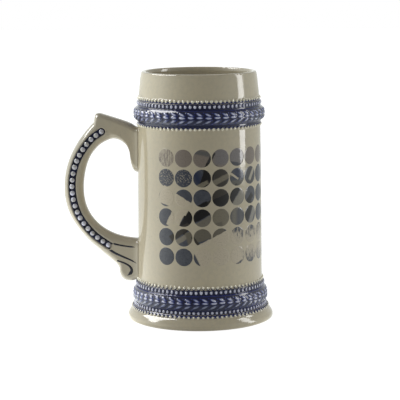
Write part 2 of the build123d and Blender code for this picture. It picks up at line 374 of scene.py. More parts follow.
def build_bead_row(name, beads, z, radius, slope, gap=0.0, seed=1, tall=1.0):
    """A strip of beads round the wall; gap is how far from the handle's middle they stop."""
    count = beads * COLUMNS_PER_BEAD
    across = np.linspace(-BEAD_STRIP_HALF, BEAD_STRIP_HALF, BEAD_ROW_STEPS)
    tilt = math.atan(slope)
    path = np.stack((radius - across * math.sin(tilt), z + across * math.cos(tilt)), axis=1)
    pitch = 2 * math.pi * radius / beads
    bead = np.arange(count) // COLUMNS_PER_BEAD
    along = ((np.arange(count) + 0.5) / COLUMNS_PER_BEAD - bead - 0.5) * pitch
    draw = np.random.default_rng(seed)
    size = (1 + BEAD_SIZE_SPREAD * draw.standard_normal(beads))[bead]
    distance = np.hypot(along[None, :], across[:, None] / tall) / (BEAD_RADIUS * size[None, :])
    dome = BEAD_RADIUS * BEAD_DEPTH * np.sqrt(np.clip(1 - distance**2, 0, 1))
    if gap:
        angle = (bead + 0.5) * (2 * math.pi / beads)
        beside_handle = np.abs(radius * np.sin(angle)) < gap
        dome = np.where((beside_handle & (np.cos(angle) < 0))[None, :], 0, dome)
    soft = blurred(dome, 1)
    edge = smoothstep(1.0, 0.72, np.abs(across) / BEAD_STRIP_HALF)
    seat = -0.08 + 0.11 * edge
    heights = np.maximum(soft, 0) + seat[:, None]
    layers = {"raised": np.clip(soft / 0.9, 0, 1), "pooled": np.clip(1 - soft / 0.35, 0, 1)}
    row = relief_ring(name, path, heights, count, layers)
    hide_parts(name.replace("stein_", ""))
    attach(row, "root")
    return row


def wall_slope(z):
    """How far the wall's radius falls per mm of height."""
    return float(wall_radius(z - 0.5) - wall_radius(z + 0.5))


def build_bead_rows():
    rows = {}
    # node, beads, how far the seat stands off the wall, slot, gap beside the handle
    plan = (
        ("upper_beads_rim_side", 84, 0.0, "cream_bead_glaze", 0.0),
        ("upper_beads_on_cobalt", 82, LAND_THICKNESS, "relief_glaze", 0.0),
        ("upper_beads_wall_side", 86, 0.0, "cream_bead_glaze", 0.0),
        ("lower_beads_wall_side", 84, 0.0, "cream_bead_glaze", 7.5),
        ("lower_beads_on_cobalt", 82, LAND_THICKNESS, "relief_glaze", 0.0),
        ("lower_beads_in_groove", 92, LAND_THICKNESS, "relief_glaze", 0.0),
    )
    for number, (node, beads, lift, slot, gap) in enumerate(plan):
        low, high = box_mm(node)
        z = (low[2] + high[2]) / 2
        tall = TALL_ON_COBALT if lift else TALL_ON_WALL
        rows[node] = build_bead_row(
            "stein_" + node, beads, z, wall_radius(z) + lift, wall_slope(z), gap, number, tall
        )
    z, radius, slope = FOOT_SEAT
    rows["lower_beads_foot_side"] = build_bead_row(
        "stein_lower_beads_foot_side", 92, z, radius, slope, 0.0, 9
    )
    return rows


# --- the handle ---
# Stations down the handle: the outer edge (x, z) and the inner edge (x, z) in the plane y = 0.
HANDLE_STATIONS = (
    ((-40.4, 131.4), (-40.4, 100.6)),
    ((-43.2, 132.2), (-44.2, 101.6)),
    ((-46.7, 134.3), (-46.3, 106.0)),
    ((-51.0, 136.0), (-46.6, 112.0)),
    ((-55.5, 137.5), (-48.3, 117.3)),
    ((-60.0, 138.9), (-51.4, 120.9)),
    ((-64.5, 140.3), (-55.0, 123.0)),
    ((-68.0, 141.2), (-58.6, 123.7)),
    ((-70.4, 140.6), (-61.2, 123.2)),
    ((-71.3, 138.3), (-63.6, 122.2)),
    ((-71.9, 135.2), (-66.0, 120.9)),
    ((-74.2, 132.6), (-68.4, 119.2)),
    ((-78.2, 128.0), (-71.0, 116.6)),
    ((-82.7, 121.8), (-73.6, 113.3)),
    ((-86.6, 115.1), (-75.8, 109.2)),
    ((-89.9, 107.4), (-77.5, 104.4)),
    ((-91.9, 99.5), (-78.8, 98.6)),
    ((-92.7, 91.0), (-79.6, 91.3)),
    ((-92.3, 82.5), (-79.3, 83.8)),
    ((-90.3, 74.5), (-77.8, 77.2)),
    ((-87.1, 67.6), (-75.0, 71.3)),
    ((-82.1, 60.3), (-70.9, 66.1)),
    ((-75.6, 52.9), (-65.4, 61.6)),
    ((-68.1, 46.4), (-58.8, 58.2)),
    ((-61.3, 40.6), (-52.6, 56.3)),
    ((-57.4, 37.2), (-48.6, 55.6)),
    ((-55.6, 34.2), (-46.4, 55.3)),
    ((-55.2, 31.0), (-44.9, 55.1)),
    ((-54.3, 28.3), (-43.8, 55.0)),
    ((-52.4, 26.3), (-42.9, 54.9)),
    ((-49.8, 25.3), (-42.2, 54.8)),
    ((-46.9, 25.2), (-41.6, 54.8)),
    ((-44.2, 26.1), (-41.0, 54.7)),
    ((-40.4, 27.4), (-40.4, 54.6)),
)
HANDLE_ROWS = 560
HANDLE_STEPS_ACROSS = 56
HANDLE_OUTER_ROUND = 4.4
HANDLE_INNER_ROUND = 5.8
HANDLE_EDGE_POWER = 2.1
CHANNEL_POINTS = (
    (-66.1, 129.0), (-73.6, 123.5), (-83.5, 108.6), (-86.9, 91.1),
    (-83.3, 73.0), (-73.1, 58.8), (-62.5, 51.0),
)
CHANNEL_HALF_WIDTH = 2.45
CHANNEL_DEPTH = 0.55
CHANNEL_TAIL = 1.6
# The glaze's lip round the channel: distance from the channel's middle, width and height.
CHANNEL_LIP = (3.35, 0.55, 0.14)
# How far the side faces swell at the wall, and over what distance that dies away.
ROOT_FLARE = (1.5, 2.2)


def spline_through(points, steps):
    """A centripetal Catmull-Rom curve through the points, evenly stepped by length."""
    points = np.array(points, float)
    ends = (2 * points[0] - points[1], 2 * points[-1] - points[-2])
    points = np.concatenate(([ends[0]], points, [ends[1]]))
    curve = []
    for p0, p1, p2, p3 in zip(points, points[1:], points[2:], points[3:]):
        t0 = 0.0
        t1 = t0 + max(np.linalg.norm(p1 - p0), 1e-9) ** 0.5
        t2 = t1 + max(np.linalg.norm(p2 - p1), 1e-9) ** 0.5
        t3 = t2 + max(np.linalg.norm(p3 - p2), 1e-9) ** 0.5
        t = np.linspace(t1, t2, 40, endpoint=False)[:, None]
        a1 = (t1 - t) / (t1 - t0) * p0 + (t - t0) / (t1 - t0) * p1
        a2 = (t2 - t) / (t2 - t1) * p1 + (t - t1) / (t2 - t1) * p2
        a3 = (t3 - t) / (t3 - t2) * p2 + (t - t2) / (t3 - t2) * p3
        b1 = (t2 - t) / (t2 - t0) * a1 + (t - t0) / (t2 - t0) * a2
        b2 = (t3 - t) / (t3 - t1) * a2 + (t - t1) / (t3 - t1) * a3
        curve.append((t2 - t) / (t2 - t1) * b1 + (t - t1) / (t2 - t1) * b2)
    curve = np.concatenate(curve + [points[-2:-1]])
    length = np.concatenate(([0], np.cumsum(np.linalg.norm(np.diff(curve, axis=0), axis=1))))
    even = np.linspace(0, length[-1], steps)
    return np.stack([np.interp(even, length, curve[:, i]) for i in range(curve.shape[1])], axis=1)


def distance_to_path(points, path):
    """The shortest distance from each (x, z) point to a path of (x, z) points."""
    flat = points.reshape(-1, 2)
    best = np.full(len(flat), 1e9)
    for here in path:
        best = np.minimum(best, np.hypot(flat[:, 0] - here[0], flat[:, 1] - here[1]))
    return best.reshape(points.shape[:-1])


def root_flare(flat):
    """How much the handle's side faces swell where it grows out of the wall, at (x, z) points."""
    off_wall = np.clip(-flat[..., 0] - wall_radius(flat[..., 1]), 0, None)
    return ROOT_FLARE[0] * np.exp(-off_wall / ROOT_FLARE[1])


def build_handle():
    paired = [(*outer, *inner) for outer, inner in HANDLE_STATIONS]
    rails = spline_through(paired, HANDLE_ROWS)
    outer, inner = rails[:, :2], rails[:, 2:]
    share = 0.5 * (1 - np.cos(np.linspace(0, math.pi, HANDLE_STEPS_ACROSS + 1)))
    flat = outer[:, None, :] * (1 - share)[None, :, None] + inner[:, None, :] * share[None, :, None]
    width = np.linalg.norm(outer - inner, axis=1)
    from_outer = share[None, :] * width[:, None]
    from_inner = (1 - share)[None, :] * width[:, None]
    edge = np.minimum(from_outer, from_inner)
    rounding = 1 - np.minimum(from_outer / HANDLE_OUTER_ROUND, from_inner / HANDLE_INNER_ROUND)
    round_share = np.clip(rounding, 0, 1)
    thickness = HANDLE_HALF * (1 - round_share**HANDLE_EDGE_POWER) ** (1 / HANDLE_EDGE_POWER)
    groove = distance_to_path(flat, spline_through(CHANNEL_POINTS, 240))
    thickness = thickness - CHANNEL_DEPTH * smoothstep(3.0, 2.3, groove)
    lip_place, lip_width, lip_height = CHANNEL_LIP
    lip = np.exp(-(((groove - lip_place) / lip_width) ** 2))
    thickness = thickness + lip_height * lip * smoothstep(0.0, 3.5, edge)
    thickness = np.where(thickness > 0, thickness + root_flare(flat), thickness)
    front = np.concatenate((flat, -thickness[..., None]), axis=-1)
    back = np.concatenate((flat, thickness[..., None]), axis=-1)[:, -2:0:-1]
    loop = np.concatenate((front, back), axis=1)
    handle = grid_piece("stein_handle", loop[..., [0, 2, 1]], wrap_columns=True)
    fill_ends(handle)
    weld(handle)
    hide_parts("handle")
    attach(handle, "root")
    return handle


# --- the relief on the handle's side faces ---
# Places off the handle's middle plane, along Y.
CHANNEL_TOP = HANDLE_HALF - 0.30
CHANNEL_BOTTOM = HANDLE_HALF - 0.95
CHANNEL_CROWN = -0.12
STROKE_TOP = HANDLE_HALF - 0.03
STROKE_BOTTOM = HANDLE_HALF - 0.6
STROKE_CROWN = 0.16
PEARL_MIDDLE = HANDLE_HALF - 0.35
PEARL_COUNT = 22
PEARL_RADIUS = 1.78
PEARL_SQUASH = 0.82
PEARL_SIZE_SPREAD = 0.03
RIBBON_SECTIONS = 9


def ribbon(name, path, half_widths, top, bottom, crown, side):
    """A closed strip along an (x, z) path on one side face, with a crowned top."""
    step = np.gradient(path, axis=0)
    step /= np.linalg.norm(step, axis=1)[:, None]
    normal = np.stack((-step[:, 1], step[:, 0]), axis=1)
    share = np.linspace(-1, 1, RIBBON_SECTIONS)
    flat = path[:, None, :] + normal[:, None, :] * (half_widths[:, None] * share)[..., None]
    flare = root_flare(flat)
    face_y = top + crown * (1 - share**2) + flare
    back_y = bottom + flare
    face = np.stack((flat[..., 0], side * face_y, flat[..., 1]), axis=-1)
    back = np.stack((flat[..., 0], side * back_y, flat[..., 1]), axis=-1)[:, ::-1]
    strip = grid_piece(name, np.concatenate((face, back), axis=1), wrap_columns=True)
    fill_ends(strip)
    weld(strip, 1e-8)
    return strip


def build_channel(side, label):
    inside = spline_through(CHANNEL_POINTS, 260)
    start = inside[0] - unit(inside[1] - inside[0]) * CHANNEL_HALF_WIDTH
    finish = inside[-1] + unit(inside[-1] - inside[-2]) * CHANNEL_TAIL
    steps = 300
    path = spline_through(np.concatenate(([start], inside[::20], [finish])), steps)
    length = np.linspace(0, 1, steps) * np.sum(np.linalg.norm(np.diff(path, axis=0), axis=1))
    from_start = np.clip(length / CHANNEL_HALF_WIDTH, 0, 1)
    from_end = np.clip((length[-1] - length) / CHANNEL_HALF_WIDTH, 0, 1)
    half = CHANNEL_HALF_WIDTH * np.sqrt(1 - (1 - from_start) ** 2) * np.sqrt(1 - (1 - from_end) ** 2)
    half = np.maximum(half, 0.05)
    name = "handle_channel_" + label
    strip = ribbon(
        "stein_" + name, path, half, CHANNEL_TOP, CHANNEL_BOTTOM, CHANNEL_CROWN, side
    )
    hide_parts(name)
    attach(strip, "root")
    return strip


def build_pearls(side, label):
    path = spline_through(CHANNEL_POINTS, PEARL_COUNT)
    shape = bmesh.new()
    draw = np.random.default_rng(7)
    for x, z in path:
        grown = 1 + PEARL_SIZE_SPREAD * draw.standard_normal()
        place = Matrix.Translation((x * MM, side * PEARL_MIDDLE * MM, z * MM))
        squash = Matrix.Diagonal((grown, PEARL_SQUASH, grown, 1))
        bmesh.ops.create_uvsphere(
            shape, u_segments=28, v_segments=18, radius=PEARL_RADIUS * MM, matrix=place @ squash
        )
    mesh = bpy.data.meshes.new("pearls")
    shape.to_mesh(mesh)
    shape.free()
    smooth_shaded(mesh)
    name = "handle_pearls_" + label
    pearls = link(mesh, "stein_" + name)
    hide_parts(name)
    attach(pearls, "root")
    return pearls


# Each cobalt stroke: its (x, z) points and its half widths at the start, the middle and the end.
STROKES = (
    (((-60.9, 52.3), (-56.7, 51.3), (-51.1, 50.2), (-43.9, 49.5)), (0.80, 0.62, 0.60)),
    (
        ((-63.2, 49.0), (-58.6, 45.7), (-53.0, 43.0), (-47.4, 40.6), (-43.0, 38.3)),
        (1.05, 0.78, 0.60),
    ),
    (
        ((-56.9, 40.1), (-54.2, 39.3), (-50.9, 38.0), (-47.9, 36.0), (-46.6, 33.7), (-47.2, 31.7),
         (-49.6, 29.7)),
        (0.52, 0.78, 1.25),
    ),
)


def build_strokes(side, label):
    steps = 90
    parts = []
    for points, (start, middle, finish) in STROKES:
        path = spline_through(points, steps)
        share = np.linspace(0, 1, steps)
        half = np.interp(share, (0, 0.5, 0.86, 1.0), (start, middle, finish, 0.05))
        half *= smoothstep(0.0, 0.04, share) * 0.9 + 0.1
        parts.append(ribbon("stroke", path, half, STROKE_TOP, STROKE_BOTTOM, STROKE_CROWN, side))
    shape = bmesh.new()
    for part in parts:
        shape.from_mesh(part.data)
    mesh = bpy.data.meshes.new("strokes")
    shape.to_mesh(mesh)
    shape.free()
    for part in parts:
        bpy.data.objects.remove(part)
    smooth_shaded(mesh)
    name = "handle_lines_" + label
    strokes = link(mesh, "stein_" + name)
    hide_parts(name)
    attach(strokes, "root")
    return strokes


# --- the print ---
DOT_ROWS = 6
DOT_COLUMNS = 15
DOT_RADIUS = 6.05
DOT_PITCH = 13.2
DOT_TOP_ROW = 115.0
DOT_FIRST_ANGLE = math.radians(-118.3)
DOT_ANGLE_STEP = math.radians(17.15)
DOT_EDGE_STEPS = 48
DOT_FILM = 0.03


def build_dots():
    """Thin round films that follow the wall, each closed by a back that is inside the glaze."""
    ring_shares = np.array([0.0, 0.3, 0.6, 0.85, 0.97, 1.0, 0.6, 0.0])
    lifts = np.array([1, 1, 1, 1, 1, -1, -2.0, -2.0]) * DOT_FILM
    turn = np.arange(DOT_EDGE_STEPS) * (2 * math.pi / DOT_EDGE_STEPS)
    shape = bmesh.new()
    for row in range(DOT_ROWS):
        for column in range(DOT_COLUMNS):
            middle_z = DOT_TOP_ROW - row * DOT_PITCH
            middle_angle = DOT_FIRST_ANGLE + column * DOT_ANGLE_STEP
            a = ring_shares[:, None] * DOT_RADIUS * np.cos(turn)
            b = ring_shares[:, None] * DOT_RADIUS * np.sin(turn)
            z = middle_z + b
            radius = wall_radius(z) + lifts[:, None]
            angle = middle_angle + a / wall_radius(middle_z)
            points = np.stack((radius * np.cos(angle), radius * np.sin(angle), z), axis=-1)
            dot = grid_piece("dot", points, wrap_columns=True)
            shape.from_mesh(dot.data)
            bpy.data.objects.remove(dot)
    mesh = bpy.data.meshes.new("dots")
    shape.to_mesh(mesh)
    shape.free()
    dots = link(mesh, "stein_print_dots")
    weld(dots)
    smooth_shaded(dots.data)
    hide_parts("print_dots")
    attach(dots, "root")
    return dots


vessel = build_vessel()
upper_band = build_band(
    "stein_upper_band", "upper_band", upper_low, upper_high, UPPER_SWELL_SHARE, UPPER_SWELL_RADIUS,
    UPPER_LEAVES, 11,
)
lower_band = build_band(
    "stein_lower_band", "lower_band", lower_low, lower_high, LOWER_SWELL_SHARE, LOWER_SWELL_RADIUS,
    LOWER_LEAVES, 12,
)
bead_rows = build_bead_rows()
handle = build_handle()
channels = [build_channel(-1, "front"), build_channel(1, "back")]
pearls = [build_pearls(-1, "front"), build_pearls(1, "back")]
strokes = [build_strokes(-1, "front"), build_strokes(1, "back")]
dots = build_dots()


# --- materials ---
class Nodes:
    """Adds and joins the nodes of one shader tree."""

    def __init__(self, tree):
        self.tree = tree

    def add(self, kind, *items, **settings):
        """Adds a node, sets it up, and feeds its first sockets in order."""
        node = self.tree.nodes.new(kind)
        for key, value in settings.items():
            setattr(node, key, value)
        for index, item in enumerate(items):
            self.feed(node.inputs[index], item)
        return node

    def feed(self, socket, value):
        """Joins an output to a socket, or sets the socket to a number or a colour."""
        if isinstance(value, bpy.types.NodeSocket):
            self.tree.links.new(value, socket)
        elif isinstance(value, tuple) and len(value) == 3 and socket.type == "RGBA":
            socket.default_value = (*value, 1.0)
        else:
            socket.default_value = value

    def math(self, operation, first, second=0.0):
        return self.add("ShaderNodeMath", first, second, operation=operation).outputs[0]

    def times(self, first, second):
        return self.math("MULTIPLY", first, second)

    def plus(self, first, second):
        return self.math("ADD", first, second)

    def minus(self, first, second):
        return self.math("SUBTRACT", first, second)

    def stretch(self, value, low, high, to_low=0.0, to_high=1.0):
        """Eases a value from to_low at low to to_high at high; low may be above high."""
        items = (value, low, high, to_low, to_high)
        return self.add("ShaderNodeMapRange", *items, interpolation_type="SMOOTHSTEP").outputs[0]

    def mix(self, share, first, second):
        node = self.add("ShaderNodeMix", data_type="RGBA")
        self.feed(node.inputs["Factor"], share)
        self.feed(node.inputs["A"], first)
        self.feed(node.inputs["B"], second)
        return node.outputs["Result"]


class Recipe(Nodes):
    """The nodes of one material, built round its Principled shader."""

    def __init__(self, name):
        self.material = bpy.data.materials.new(name)
        self.material.use_nodes = True
        super().__init__(self.material.node_tree)
        self.shader = self.tree.nodes["Principled BSDF"]
        self.place = self.add("ShaderNodeTexCoord").outputs["Object"]

    def noise(self, scale, detail=2.0, roughness=0.5, place=None):
        node = self.add("ShaderNodeTexNoise")
        self.feed(node.inputs["Vector"], place or self.place)
        self.feed(node.inputs["Scale"], scale)
        self.feed(node.inputs["Detail"], detail)
        self.feed(node.inputs["Roughness"], roughness)
        return node.outputs["Fac"]

    def layer(self, name):
        return self.add("ShaderNodeAttribute", attribute_name=name).outputs["Fac"]

    def axis(self, letter):
        """The X, Y or Z of the point, in metres."""
        return self.add("ShaderNodeSeparateXYZ", self.place).outputs[letter]

    def bump(self, height, strength, distance):
        node = self.add("ShaderNodeBump")
        self.feed(node.inputs["Height"], height)
        self.feed(node.inputs["Strength"], strength)
        self.feed(node.inputs["Distance"], distance)
        return node.outputs["Normal"]

    def finish(self, colour, roughness, normal):
        self.feed(self.shader.inputs["Base Color"], colour)
        self.feed(self.shader.inputs["Roughness"], roughness)
        self.shader.inputs["IOR"].default_value = GLAZE_IOR
        self.feed(self.shader.inputs["Normal"], normal)
        return self.material


GLAZE_IOR = 1.52
STONEWARE = (0.500, 0.440, 0.326)
STONEWARE_WARM = (0.540, 0.474, 0.336)
STONEWARE_GREY = (0.430, 0.390, 0.306)
SPECK = (0.120, 0.095, 0.070)
BISCUIT = (0.640, 0.560, 0.430)
CREAM = (0.800, 0.760, 0.610)
COBALT_POOL = (0.005, 0.007, 0.042)
COBALT = (0.016, 0.026, 0.170)
COBALT_THIN = (0.130, 0.160, 0.360)
COBALT_TIP = (0.600, 0.610, 0.740)
SLATE_POOL = (0.028, 0.034, 0.070)
SLATE_THIN = (0.200, 0.220, 0.290)
CHANNEL_POOL = (0.004, 0.005, 0.014)
CHANNEL_THIN = (0.012, 0.016, 0.050)
STROKE_POOL = (0.008, 0.009, 0.016)
STROKE_THIN = (0.030, 0.034, 0.052)
PEARL = (0.450, 0.436, 0.415)


def stoneware_colour(recipe, base, warm, grey):
    """Pale glaze over clay: slow drifts of tone, fine mottling and a few iron specks."""
    drift = recipe.stretch(recipe.noise(14.0, 3.0, 0.55), 0.35, 0.68)
    mottle = recipe.stretch(recipe.noise(420.0, 3.0, 0.6), 0.40, 0.66)
    colour = recipe.mix(drift, base, warm)
    colour = recipe.mix(recipe.times(mottle, 0.35), colour, grey)
    cells = recipe.add("ShaderNodeTexVoronoi", feature="F1")
    recipe.feed(cells.inputs["Vector"], recipe.place)
    recipe.feed(cells.inputs["Scale"], 260.0)
    near = recipe.stretch(cells.outputs["Distance"], 0.10, 0.03)
    chosen = recipe.stretch(recipe.noise(95.0, 0.0), 0.60, 0.66)
    specks = recipe.times(recipe.times(near, chosen), 0.45)
    return recipe.mix(specks, colour, SPECK)


def glaze_surface(recipe):
    """Roughness and bump of a fired glaze: nearly smooth, with a faint orange peel."""
    roughness = recipe.stretch(recipe.noise(60.0, 2.0), 0.3, 0.7, 0.07, 0.13)
    peel = recipe.noise(210.0, 2.0, 0.5)
    return roughness, recipe.bump(peel, 0.25, 0.00012)


def vessel_material():
    recipe = Recipe("stoneware_glaze")
    colour = stoneware_colour(recipe, STONEWARE, STONEWARE_WARM, STONEWARE_GREY)
    roughness, normal = glaze_surface(recipe)
    resting = recipe.stretch(recipe.axis("Z"), 0.0009, 0.0003)
    colour = recipe.mix(resting, colour, BISCUIT)
    roughness = recipe.math("MAXIMUM", roughness, recipe.times(resting, 0.8))
    return recipe.finish(colour, roughness, normal)


def handle_material():
    recipe = Recipe("handle_glaze")
    colour = stoneware_colour(recipe, STONEWARE_GREY, STONEWARE, STONEWARE_GREY)
    return recipe.finish(colour, *glaze_surface(recipe))


def cobalt_colour(recipe, raised):
    """Cobalt that is nearly black where it pools, blue on slopes and whitish on thin tips."""
    uneven = recipe.noise(330.0, 2.0, 0.6)
    patches = recipe.noise(38.0, 2.0, 0.5)
    level = recipe.plus(raised, recipe.times(recipe.minus(uneven, 0.5), 0.35))
    level = recipe.plus(level, recipe.times(recipe.minus(patches, 0.5), 0.45))
    colour = recipe.mix(recipe.stretch(level, 0.02, 0.30), COBALT_POOL, COBALT)
    colour = recipe.mix(recipe.stretch(level, 0.30, 0.72), colour, COBALT_THIN)
    return recipe.mix(recipe.stretch(level, 0.70, 1.05), colour, COBALT_TIP)


def cobalt_band_material():
    """Deep cobalt above; greyer, paler slate cobalt in patches on the band's lower side."""
    recipe = Recipe("cobalt_glaze_band")
    raised = recipe.layer("raised")
    pooled = recipe.layer("pooled")
    level = recipe.minus(raised, recipe.times(pooled, 0.45))
    colour = cobalt_colour(recipe, level)
    slate = recipe.mix(recipe.stretch(level, 0.0, 0.8), SLATE_POOL, SLATE_THIN)
    # Greyer, paler slate cobalt in noise patches over the lower half of each band.
    lower_side_grey = recipe.times(recipe.layer("lower"), recipe.stretch(recipe.noise(55.0), 0.3, 0.62))
    colour = recipe.mix(recipe.times(lower_side_grey, 0.75), colour, slate)
    return recipe.finish(colour, *glaze_surface(recipe))


def cobalt_bead_material():
    recipe = Recipe("cobalt_glaze_beads")
    raised = recipe.layer("raised")
    tip = recipe.stretch(raised, 0.30, 0.90)
    colour = recipe.mix(tip, cobalt_colour(recipe, recipe.times(raised, 0.3)), COBALT_TIP)
    return recipe.finish(colour, *glaze_surface(recipe))


def cream_bead_material(name, row_height, cobalt_side):
    """Cream beads on the wall's glaze; cobalt fills the gaps between them on the band's side."""
    recipe = Recipe(name)
    raised = recipe.layer("raised")
    wall = stoneware_colour(recipe, STONEWARE, STONEWARE_WARM, STONEWARE_GREY)
    colour = recipe.mix(recipe.stretch(raised, 0.10, 0.65), wall, CREAM)
    wobble = recipe.times(recipe.minus(recipe.noise(260.0, 1.0), 0.5), 0.0011)
    level = recipe.plus(recipe.axis("Z"), wobble)
    towards = cobalt_side * 0.00055
    creep = recipe.stretch(level, row_height - towards, row_height + towards)
    low = recipe.times(creep, recipe.stretch(raised, 0.85, 0.45))
    colour = recipe.mix(low, colour, recipe.mix(recipe.noise(420.0), COBALT_POOL, COBALT))
    return recipe.finish(colour, *glaze_surface(recipe))


def channel_material():
    recipe = Recipe("cobalt_channel")
    tone = recipe.stretch(recipe.noise(240.0, 2.0), 0.35, 0.75)
    colour = recipe.mix(tone, CHANNEL_POOL, CHANNEL_THIN)
    return recipe.finish(colour, *glaze_surface(recipe))


def stroke_material():
    recipe = Recipe("cobalt_strokes")
    tone = recipe.stretch(recipe.noise(190.0, 2.0), 0.35, 0.75)
    colour = recipe.mix(tone, STROKE_POOL, STROKE_THIN)
    return recipe.finish(colour, *glaze_surface(recipe))


def pearl_material():
    recipe = Recipe("pearl_glaze")
    tone = recipe.stretch(recipe.noise(260.0, 3.0), 0.35, 0.7)
    colour = recipe.mix(tone, PEARL, COBALT_TIP)
    depth = recipe.math("ABSOLUTE", recipe.axis("Y"))
    base = recipe.stretch(depth, (HANDLE_HALF + 0.45) * MM, (HANDLE_HALF - 0.10) * MM)
    colour = recipe.mix(base, colour, COBALT)
    return recipe.finish(colour, *glaze_surface(recipe))


# The print: slate tones with soft-edged patches laid over them, in order. A patch is (mm round
# the wall from +X, height, lean in degrees, half length, half width, edge softness, tone).
PRINT_WALL_RADIUS = 42.2
PATCH_WANDER = 1.3
# Where the upright strands are palest, and how fast they darken off that height, per mm.
REED_GAP = (56.0, 0.020)
SLATE = (0.078, 0.083, 0.098)
SLATE_DEEP = (0.055, 0.060, 0.078)
NAVY = (0.024, 0.032, 0.066)
DARK = (0.009, 0.008, 0.008)
UMBER = (0.040, 0.034, 0.026)
OLIVE = (0.190, 0.168, 0.122)
TAUPE = (0.215, 0.180, 0.152)
MIST = (0.190, 0.174, 0.172)
PALE = (0.520, 0.455, 0.345)
MOTTLE = (0.020, 0.020, 0.022)
BROWN = (0.165, 0.150, 0.120)
DOT_PATCHES = (
    (-45, 115, 0, 400, 7, 0.8, TAUPE),
    (-43, 116, 0, 14, 7, 3, MIST),
    (-63.5, 119, -12, 9, 2.4, 1.6, (0.120, 0.115, 0.110)),
    (-57.2, 112.5, 64, 8, 1.7, 0.7, (0.040, 0.038, 0.038)),
    (-36, 110, -14, 7, 1.6, 0.8, (0.060, 0.062, 0.075)),
    (-87, 105, 0, 7, 3.6, 2.2, SLATE_DEEP),
    (-74.5, 101.8, 0, 6.6, 6.6, 1, SLATE_DEEP),
    (-65.5, 103, 20, 5.5, 7, 3, NAVY),
    (-58, 102.5, 72, 10, 4.4, 1, DARK),
    (-62.5, 97.2, 26, 6, 1.8, 0.9, OLIVE),
    (-49.2, 102, 0, 6.6, 7, 1.4, UMBER),
    (-48.5, 101, 24, 9, 2.3, 1.2, OLIVE),
    (-35, 104, 0, 6.4, 4.8, 2.4, NAVY),
    (-36.6, 97.2, 0, 6.4, 3, 1.5, (0.110, 0.105, 0.092)),
    (-39.6, 102.8, -32, 5, 0.9, 0.4, PALE),
    (-24, 102, 0, 6, 6.6, 2, (0.060, 0.058, 0.062)),
    (-22, 103, 55, 6, 1.7, 0.8, (0.380, 0.350, 0.280)),
    (-59, 84.2, 30, 7, 2, 1, UMBER),
    (-49.2, 91.8, 12, 8, 4.6, 1.2, UMBER),
    (-48.2, 85.8, 20, 9.5, 4.3, 0.8, DARK),
    (-40.6, 89.5, 52, 9, 3.2, 1, DARK),
    (-34.3, 87.6, 52, 9, 3.6, 1.2, (0.250, 0.232, 0.190)),
    (-26.6, 84.2, 45, 7.5, 2.4, 0.8, DARK),
    (-71.3, 73, 52, 9.5, 3.8, 0.6, DARK),
    (-65.2, 78.4, 28, 10, 4.9, 0.5, DARK),
    (-58.3, 71.6, 30, 9, 4.4, 0.7, BROWN),
    (-49.2, 75.4, 0, 6.8, 6.8, 1, OLIVE),
    (-39.4, 76, 0, 4.2, 7, 2, (0.170, 0.158, 0.130)),
    (-33.6, 75, 0, 4.2, 7, 2.4, (0.110, 0.112, 0.118)),
    (-27, 76, 62, 9.5, 2.9, 0.8, DARK),
    (-21.6, 75, 62, 9.5, 2.4, 1, (0.250, 0.238, 0.210)),
    (-77.2, 65.8, 38, 9, 2.6, 0.8, UMBER),
    (-73.4, 62.6, 32, 8, 2.1, 0.8, (0.230, 0.208, 0.165)),
    (-60, 65, 17, 14, 4.6, 0.9, (0.135, 0.120, 0.090)),
    (-66.2, 59.4, -52, 5, 1.3, 0.6, UMBER),
    (-80.8, 86.8, -30, 12, 5, 0.4, PALE),
    (-87.4, 88.4, -12, 6, 4.9, 0.6, PALE),
    (-79.2, 76.8, 62, 9.5, 4.6, 0.5, PALE),
    (-50.6, 50.9, 25, 15.2, 12.2, 0.4, PALE),
    (10, 98, 34, 24, 5.5, 1.5, DARK),
    (22, 84, 12, 20, 5, 2, OLIVE),
    (4, 62, -26, 18, 6, 1.2, UMBER),
    (44, 70, -40, 20, 6, 0.6, PALE),
    (66, 92, 30, 22, 4.5, 1.2, DARK),
    (74, 60, 16, 20, 6, 1, BROWN),
)


def tilted_patch(recipe, around, up, wander, patch):
    """How much a point is inside one patch: 0 outside it, 1 well inside."""
    middle, height, lean, half_length, half_width, soft, _ = patch
    turn = math.radians(lean)
    u = recipe.minus(around, middle)
    v = recipe.minus(up, height)
    along_u = recipe.times(u, math.cos(turn))
    along = recipe.plus(along_u, recipe.times(v, math.sin(turn)))
    across_v = recipe.times(v, math.cos(turn))
    across = recipe.minus(across_v, recipe.times(u, math.sin(turn)))
    across = recipe.plus(across, recipe.times(wander, PATCH_WANDER))
    off_along, off_across = recipe.math("ABSOLUTE", along), recipe.math("ABSOLUTE", across)
    inside_length = recipe.stretch(off_along, half_length, half_length - soft * 2)
    inside_width = recipe.stretch(off_across, half_width, half_width - soft)
    return recipe.times(inside_length, inside_width)


